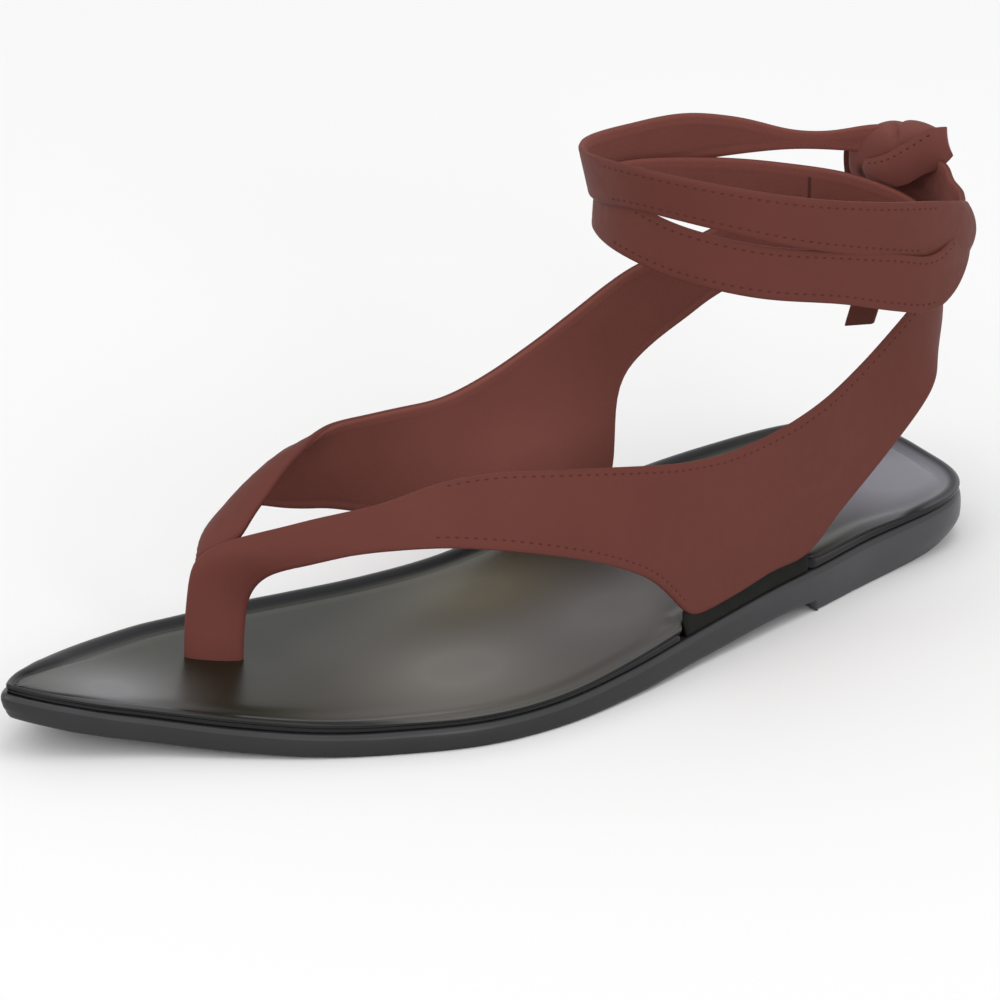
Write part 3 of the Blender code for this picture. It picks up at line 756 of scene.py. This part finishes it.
innerTie = (
    (-82, 64.6, -8.6, 18.0), (-60, 67.0, -5.0, 15.0), (-40, 68.8, -2.8, 13.0), (-20, 70.2, -2.8, 13.0),
    (0, 73.2, -2.8, 12.6, -1.0), (18, 77.0, -1.9, 12.6, -1.4, 0.6), (33, 81.5, -1.2, 13.4, -0.6, 2.2),
    (47, 85.6, -0.5, 13.8, -0.6, 1.4), (68, 91.2, -0.3, 14.6, 0.0, 0.3), (90, 96.6, 0.1, 13.8),
    (117, 102.6, 0.5, 12.8, 1.0), (142, 107.0, 0.4, 12.1, 2.5), (172, 107.9, -0.4, 12.1, 3.5),
    (195, 105.0, -0.6, 13.0, 3.5), (223, 100.7, 0.1, 13.0, 2.0), (249, 96.8, 0.5, 13.0),
    (277, 94.0, 0.8, 12.2), (292, 92.0, 1.2, 9.0), (307, 89.7, 2.2, 4.9), (318, 89.1, 3.4, 5.0),
    (330, 89.8, 4.6, 7.6), (339, 89.8, 5.4, 8.6),
)


def lastPoints(station, angle, side):
    ridgeX = smoothValue(lastShape["ridge"], 1, station)
    base = soleLevel(rimLevel, station) - lastShape["base"]
    rise = smoothValue(lastShape["ridge"], 2, station) - base
    edges = soleEdges(station)
    reach = (edges[1] if side > 0 else edges[0]) - side * lastShape["wallInset"] - ridgeX
    turn = np.radians(angle)
    power = 2 / lastShape["power"]
    x = ridgeX + reach * np.sign(np.cos(turn)) * np.abs(np.cos(turn)) ** power
    z = base + rise * np.sin(turn) ** power
    return np.stack([x, station, z], axis=-1)


def forkPoints(row, v):
    # curve through the low edge, the middle and the high edge
    low, middle, high = (np.array(point)[None] for point in row)
    v = v[:, None]
    return low * (1 - v) * (1 - 2 * v) + middle * 4 * v * (1 - v) + high * v * (2 * v - 1)


def ringPoints(turn, height, outset):
    angle = np.radians(turn)
    x = ankleRing["x"] + (ankleRing["halfWidth"] + outset) * np.sin(angle)
    station = ankleRing["station"] - (ankleRing["halfLength"] + outset) * np.cos(angle)
    return np.stack([x, station, height + outset * 0.0], axis=-1)


def loft(sections, step):
    # smooth surface through the sections, in rows a step apart along its middle
    points = np.array(sections, dtype=float)
    middle = points[:, points.shape[1] // 2]
    places = lengthAlong(middle)
    slopes = np.gradient(points, places, axis=0)
    at = np.linspace(0.0, places[-1], int(round(places[-1] / step)) + 1)
    i = np.clip(np.searchsorted(places, at) - 1, 0, len(places) - 2)
    width = (places[i + 1] - places[i])[:, None, None]
    t = (at - places[i])[:, None, None] / width
    return cubicBetween(points, slopes, i, width, t), at, places


upperStrap = {
    "step": 1.7,
    "columns": 33,
    "fromEdge": (0.0, 0.5, 1.1, 1.7, 2.2, 2.8, 3.6),   # close rows along each edge
    "crowding": 2.6,   # under so many times the last of them, a strap has them closer
    "between": 6,
    "postWall": 3.6,
    "postRows": (4, 8),   # fork rows where the post thins
    "wall": 1.9,
    "tieWall": 1.5,
    "thinning": 60.0,   # length over which a quarter thins into its tie
    "edgeShare": 0.45,   # wall left at the edge
    "edgeRound": 0.75,   # how far in the edge is rounded, in walls
    "bevel": {"width": 0.25, "segments": 2, "angle": 50.0},
    "easing": 60,
    "easeWeights": (0.5, -0.52),
    "seamRows": {"low": 4, "high": -4},   # which of the close rows carry the stitches
    "seamTrough": 0.94,
    "buttSeam": 3.6,   # tie row where the outer lining is joined
}


def spreadAcross(rows, values):
    # same surface with rows close to both edges, and how far they lie from each
    near = np.array(values["fromEdge"])
    spread = []
    low = []
    high = []
    for row in rows:
        far = lengthAlong(row)
        width = far[-1]
        close = near * min(1.0, width / (near[-1] * values["crowding"]))
        inside = np.linspace(close[-1], width - close[-1], values["between"] + 2)[1:-1]
        places = np.concatenate([close, inside, width - close[::-1]])
        spread.append(np.stack([np.interp(places, far, row[:, k]) for k in range(3)], axis=1))
        low.append(places)
        high.append(width - places)
    return np.array(spread), np.array(low), np.array(high)


def easeAlong(rows, values):
    # takes the waves out of a strap without shrinking its bends
    for step in range(values["easing"]):
        for weight in values["easeWeights"]:
            pull = (rows[:-2] + rows[2:]) / 2 - rows[1:-1]
            rows[1:-1] += pull * weight
    return rows


def makeHalf(name, fork, quarter, tie, side, values):
    v = np.linspace(0.0, 1.0, values["columns"])
    lines = [forkPoints(row, v) for row in fork]
    lines += [lastPoints(a + (c - a) * v, b + (d - b) * v, side) for a, b, c, d in quarter]
    lines += [ringPoints(turn + v * 0.0, height + (v - 0.5) * width,
                         outset + (v - 0.5) * lean + bulge * 4 * v * (1 - v))
              for turn, height, outset, width, lean, bulge in [(*row, 0.0, 0.0)[:6] for row in tie]]
    rows, at, places = loft(lines, values["step"])
    rows = easeAlong(rows, values)
    rows[..., 2] = np.maximum(rows[..., 2], soleLevel(topLevel, rows[..., 1]) + lastShape["seat"])
    rows, low, high = spreadAcross(rows, values)
    piece, column, row = addGrid(name, np.swapaxes(rows, 0, 1))
    tieStart = places[len(fork) + len(quarter)]
    thinned = easeStep(tieStart - values["thinning"], tieStart, at)
    wall = values["wall"] + (values["tieWall"] - values["wall"]) * thinned
    if side > 0:
        first, last = (places[row] for row in values["postRows"])
        wall += (values["postWall"] - values["wall"]) * (1 - easeStep(first, last, at))
    fromEdge = np.minimum(low, high) / (wall[:, None] * values["edgeRound"])
    rounded = np.sqrt(1 - (1 - np.clip(fromEdge, 0.0, 1.0)) ** 2)
    share = values["edgeShare"]
    weight = wall[:, None] / values["postWall"] * (share + (1 - share) * rounded)
    for seamRow in values["seamRows"].values():
        weight[:, seamRow] *= values["seamTrough"]
    group = piece.vertex_groups.new(name="wall")
    for index in range(len(row)):
        group.add([index], weight[row[index], column[index]], "REPLACE")
    markEdge(piece, "lowEdge", lengthAlong(rows[:, 0])[row], low[row, column])
    markEdge(piece, "highEdge", lengthAlong(rows[:, -1])[row], high[row, column])
    if side < 0:
        editAll()
        bpy.ops.mesh.flip_normals()
        bpy.ops.object.mode_set(mode="OBJECT")
    seam = None
    if side > 0:
        seam = len(fork) + len(quarter) + values["buttSeam"]
        seam = np.interp(seam, np.arange(len(places)), places)
        seam = float(np.interp(seam, at, lengthAlong(rows[:, 0])))
    inside = makeLining(name.replace("upper", "lining"), lining, seam)
    if side < 0:
        paintLightOrShade(inside, *lining["paler"])
    for material in (outerLeather, inside, outerLeather):
        piece.data.materials.append(material)
    addModifier(piece, "SOLIDIFY", thickness=values["postWall"] * mm, offset=0.0, vertex_group="wall",
                material_offset=1, material_offset_rim=2)
    bevelEdges(piece, values["bevel"])
    finishShading(piece)
    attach(piece, "root")
    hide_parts("upper")
    rowAt = np.interp(at, places, np.arange(len(places)))   # which section each row lies on
    return rows, wall, rowAt


outerRows, outerWall, outerAt = makeHalf(
    "upper_outer_half", outerFork, outerQuarter, outerTie, 1, upperStrap)
innerRows, innerWall, innerAt = makeHalf(
    "upper_inner_half", innerFork, innerQuarter, innerTie, -1, upperStrap)

quarterStrip = {
    "outer": (63.0, 107.8),
    "inner": (77.4, 110.4),
    "points": 48,
    "footBelow": 24.0,   # the quarter's foot is under this height
    "overrun": (6.0, 4.0),
    "profile": (   # distance from the sole's edge, share of the height up to the brown leather
        (3.2, 0.02), (1.9, 0.02), (1.4, 0.06), (1.2, 0.2), (1.15, 0.4), (1.3, 0.62), (1.6, 0.82),
        (1.95, 0.98), (2.1, 1.15), (2.3, 1.15), (3.2, 0.9),
    ),
}


def makeStrip(name, rows, ends, side, values):
    # black strip at the foot of a quarter, its top behind the brown leather
    foot = rows[:, 0]
    first, last = ends[0] - values["overrun"][0], ends[1] + values["overrun"][1]
    foot = foot[(foot[:, 2] < values["footBelow"]) & (foot[:, 1] > first) & (foot[:, 1] < last)]
    foot = foot[np.argsort(foot[:, 1])]
    station = np.linspace(*ends, values["points"])
    edge = soleEdges(station)[1 if side > 0 else 0]
    floor = soleLevel(topLevel, station)
    height = np.interp(station, foot[:, 1], foot[:, 2]) - floor
    lines = [np.stack([edge - side * inset, station, floor + height * share], axis=1)
             for inset, share in values["profile"]]
    lines = np.array(lines + lines[:1])
    for end in (0, -1):
        lines[:, end] = lines[:-1, end].mean(axis=0)
    piece = addGrid(name, lines)[0]
    closeShell(piece)
    piece.data.materials.append(stripLeather)
    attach(piece, "root")
    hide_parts("upper")


stitch = {
    "pitch": 2.2,
    "size": (1.0, 0.55, 0.3),   # along, across, high
    "facets": (6, 4),
    "span": 0.4,   # half the length that its direction is taken over
    "outerSeams": (   # edge, first section, last section
        ("high", 11.0, 31.2), ("high", 33.2, 39.3),
        ("low", 10.6, 15.9), ("low", 26.0, 31.2), ("low", 32.8, 38.3),
    ),
    "innerSeams": (
        ("high", 11.0, 31.0), ("high", 33.9, 38.5), ("high", 40.3, 43.0),
        ("low", 10.6, 14.9), ("low", 27.0, 31.0), ("low", 34.3, 38.5), ("low", 40.3, 43.0),
    ),
}


def stitchPlaces(rows, wall, rowAt, seams, side, values):
    # where each stitch sits on the outer face: middle, way along and way out
    points = inMetres(rows)
    out = np.cross(np.gradient(points, axis=0), np.gradient(points, axis=1)) * side
    out /= np.linalg.norm(out, axis=2)[..., None]
    points = points + out * (wall * upperStrap["seamTrough"] / 2 * mm)[:, None, None]
    places = []
    for edge, first, last in seams:
        column = upperStrap["seamRows"][edge]
        part = (rowAt >= first) & (rowAt <= last)
        line = points[part, column]
        normal = out[part, column]
        far = lengthAlong(line)
        for at in np.arange(values["pitch"] * mm / 2, far[-1], values["pitch"] * mm):
            ends = [np.array([np.interp(at + shift, far, line[:, k]) for k in range(3)])
                    for shift in (-values["span"] * mm, 0.0, values["span"] * mm)]
            way = np.array([np.interp(at, far, normal[:, k]) for k in range(3)])
            places.append((ends[1], ends[2] - ends[0], way))
    return places


def makeStitches(name, node, places, values):
    clearPick()
    segments, rings = values["facets"]
    bpy.ops.mesh.primitive_uv_sphere_add(segments=segments, ring_count=rings, radius=0.5)
    model = bpy.context.object
    middle = (0.0, 0.0, 0.0)
    editAll()
    bpy.ops.transform.rotate(value=math.pi / 2, orient_axis="Y", center_override=middle)
    bpy.ops.transform.resize(value=[size * mm for size in values["size"]], center_override=middle)
    bpy.ops.object.mode_set(mode="OBJECT")
    model.data.materials.append(stitchThread)
    copies = []
    for middle, along, out in places:
        along, out = Vector(along).normalized(), Vector(out).normalized()
        across = out.cross(along).normalized()
        turn = Matrix((along, across, along.cross(across))).transposed().to_4x4()
        copy = model.copy()
        copy.data = model.data.copy()
        copy.data.transform(Matrix.Translation(Vector(middle)) @ turn)
        bpy.context.collection.objects.link(copy)
        copies.append(copy)
    bpy.data.objects.remove(model)
    clearPick()
    for copy in copies:
        copy.select_set(True)
    bpy.context.view_layer.objects.active = copies[0]
    bpy.ops.object.join()
    piece = bpy.context.object
    piece.name = name
    piece.data.name = name
    finishShading(piece)
    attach(piece, "root")
    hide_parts(node)


makeStitches("stitches_outer", "upper",
             stitchPlaces(outerRows, outerWall, outerAt, stitch["outerSeams"], 1, stitch), stitch)
makeStitches("stitches_inner", "upper",
             stitchPlaces(innerRows, innerWall, innerAt, stitch["innerSeams"], -1, stitch), stitch)
makeStrip("quarter_strip_outer", outerRows, quarterStrip["outer"], 1, quarterStrip)
makeStrip("quarter_strip_inner", innerRows, quarterStrip["inner"], -1, quarterStrip)
print("upper made")


# Knot and hanging end

tieKnot = {
    "turn": -19.5,
    "height": 88.0,
    "outset": 5.4,
    "body": (   # along the ankle, lowest, highest, half outwards
        (-16.2, -6.2, -3.4, 0.3), (-15.4, -9.0, 0.0, 2.6), (-11.6, -11.2, 3.0, 4.6),
        (-8.0, -11.2, 5.3, 5.3), (-3.0, -9.6, 6.9, 5.8), (1.8, -6.6, 7.6, 5.6),
        (5.6, -3.6, 7.2, 4.8), (8.6, -0.2, 6.4, 3.2), (9.6, 2.6, 4.6, 0.3),
    ),
    "points": 57,
    "step": 0.5,
    "squareness": 0.82,
    "crease": (   # along, up
        (-6.0, 7.4), (-3.6, 6.8), (-2.2, 6.2), (-1.0, 5.0), (-0.7, 2.6),
    ),
    "creaseDepth": 0.75,
    "creaseWidth": 0.9,
    "creaseIn": 0.7,   # shares of its depth that go inwards and down
    "creaseDown": 0.5,
    "creaseUnder": 2.0,   # how far under a crease the face still goes down
    "wrapSeams": (("high", 0.12, 0.86),),
    "wrapFace": 1,
    "wrapWall": 1.6,
    "wrapBulge": 0.9,
    "wrapColumns": 9,
    "wrap": (   # outwards, then along and up of the low edge and of the high edge
        (-3.2, -9.4, -6.6, -9.9, -4.6), (-4.8, -7.4, -7.6, -8.7, -3.1), (-6.0, -3.8, -7.8, -5.4, -1.5),
        (-6.5, 0.0, -7.3, -1.4, 0.7), (-6.4, 3.9, -5.8, 2.8, 3.9), (-5.7, 8.6, -2.3, 6.9, 7.2),
        (-5.0, 11.6, -0.6, 9.2, 9.2), (-4.2, 13.6, 1.1, 11.0, 9.6), (-3.4, 15.0, 3.2, 13.0, 9.9),
    ),
}
tieEnd = {
    "wall": 1.5,
    "columns": 9,
    "rows": (   # turn, height, outset, width, rise across
        (-35.0, 88.5, 7.0, 8.0, 0.0), (-35.5, 83.0, 8.6, 9.2, 0.0), (-34.0, 72.0, 8.8, 9.4, 0.6),
        (-32.0, 60.0, 8.6, 9.0, 1.2), (-31.8, 49.0, 8.4, 8.4, 2.0), (-34.6, 38.0, 8.4, 8.2, 2.5),
    ),
}
tieStrap = {
    "step": 1.2,
    "bevel": {"width": 0.45, "segments": 3, "angle": 50.0},
}


def knotPoints(points, values):
    angle = math.radians(values["turn"])
    middle = ringPoints(values["turn"], values["height"], values["outset"])
    along, outwards, up = np.moveaxis(np.asarray(points, dtype=float), -1, 0)
    x = middle[0] + along * math.cos(angle) + outwards * math.sin(angle)
    station = middle[1] + along * math.sin(angle) - outwards * math.cos(angle)
    return np.stack([x, station, middle[2] + up], axis=-1)


def makeStrap(name, lines, wall, material):
    rows = spreadAcross(loft(lines, tieStrap["step"])[0], upperStrap)[0]
    piece = addGrid(name, np.swapaxes(rows, 0, 1))[0]
    piece.data.materials.append(material)
    addModifier(piece, "SOLIDIFY", thickness=wall * mm, offset=0.0)
    bevelEdges(piece, tieStrap["bevel"])
    finishShading(piece)
    return piece, rows


def makeKnot(values):
    turn = np.linspace(0.0, 2 * np.pi, values["points"])
    out = np.sign(np.cos(turn)) * np.abs(np.cos(turn)) ** values["squareness"]
    up = np.sign(np.sin(turn)) * np.abs(np.sin(turn)) ** values["squareness"]
    rings = [np.stack([along + out * 0.0, half * out, (low + high) / 2 + (high - low) / 2 * up], axis=1)
             for along, low, high, half in values["body"]]
    rings = loft(rings, values["step"])[0]
    trough = np.array(values["crease"])
    for start, end in zip(trough[:-1], trough[1:]):
        # soft fold pressed into the face that looks at the ankle
        way = end - start
        flat = rings[..., (0, 2)] - start
        share = np.clip(flat @ way / (way @ way), 0.0, 1.0)
        away = np.linalg.norm(flat - share[..., None] * way, axis=-1)
        deep = values["creaseDepth"] * np.exp(-(away / values["creaseWidth"]) ** 2)
        face = rings[..., 1]
        rings[..., 1] = np.where(face < 0, np.minimum(face + deep * values["creaseIn"], 0.0), face)
        near = rings[..., 2] > start[1] - values["creaseUnder"]
        rings[..., 2] -= deep * values["creaseDown"] * near
    for end in (0, -1):
        rings[end] = rings[end, :-1].mean(axis=0)
    body = addGrid("tie_knot_body", knotPoints(rings, values))[0]
    closeShell(body)
    body.data.materials.append(knotLeatherLit)
    v = np.linspace(0.0, 1.0, values["wrapColumns"])
    lines = []
    for out, lowAlong, lowUp, highAlong, highUp in values["wrap"]:
        middle = ((lowAlong + highAlong) / 2, out - values["wrapBulge"], (lowUp + highUp) / 2)
        row = (lowAlong, out, lowUp), middle, (highAlong, out, highUp)
        lines.append(knotPoints(forkPoints(row, v), values))
    wrap, rows = makeStrap("tie_knot_wrap", lines, values["wrapWall"], knotLeatherLit)
    wall = np.full(len(rows), values["wrapWall"])
    rowAt = np.linspace(0.0, 1.0, len(rows))
    places = stitchPlaces(rows, wall, rowAt, values["wrapSeams"], values["wrapFace"], stitch)
    makeStitches("stitches_knot", "tie_knot", places, stitch)
    for piece in (body, wrap):
        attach(piece, "root")
        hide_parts("tie_knot")


def makeTieEnd(values):
    angle = math.radians(tieKnot["turn"])
    side = np.array((math.cos(angle), math.sin(angle), 0.0))
    up = np.array((0.0, 0.0, 1.0))
    v = np.linspace(-0.5, 0.5, values["columns"])
    lines = [[ringPoints(*row[:3]) + (side * row[3] + up * row[4]) * at for at in v]
             for row in values["rows"]]
    piece = makeStrap("tie_end_strap", lines, values["wall"], tailLeatherShade)[0]
    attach(piece, "root")
    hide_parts("tie_end")


makeKnot(tieKnot)
makeTieEnd(tieEnd)
print("knot made")


# Floor and light

studio = {
    "floor": (0.895, 0.895, 0.895),
    "floorSize": 6.0,   # metres
    "floorRoughness": 0.9,
    "sky": 0.92,
    "lights": (   # name, place, watts, size, in metres
        ("overhead", (0.1, 0.1, 1.3), 2.2, 0.7),
        ("front", (1.37, -0.2, 0.57), 2.0, 0.3),
        ("toe", (0.1, -1.5, 0.6), 3.0, 0.7),
    ),
}


def makeStudio(values):
    clearPick()
    bpy.ops.mesh.primitive_plane_add(size=values["floorSize"])
    floor = bpy.context.object
    floor.name = "floor"
    material, _, shader = startMaterial("pale floor", values["floor"], values["floorRoughness"])
    shader.inputs["Specular IOR Level"].default_value = 0.0
    floor.data.materials.append(material)
    world = bpy.data.worlds.new("studio")
    world.use_nodes = True
    sky = world.node_tree.nodes["Background"]
    sky.inputs["Color"].default_value = (1.0, 1.0, 1.0, 1.0)
    sky.inputs["Strength"].default_value = values["sky"]
    bpy.context.scene.world = world
    for name, place, power, size in values["lights"]:
        bpy.ops.object.light_add(type="AREA", location=place)
        light = bpy.context.object
        light.name = name
        light.data.energy = power
        light.data.size = size
        light.rotation_euler = Vector(place).to_track_quat("Z", "Y").to_euler()
    bpy.context.scene.view_settings.view_transform = "Standard"


makeStudio(studio)
print("studio made")
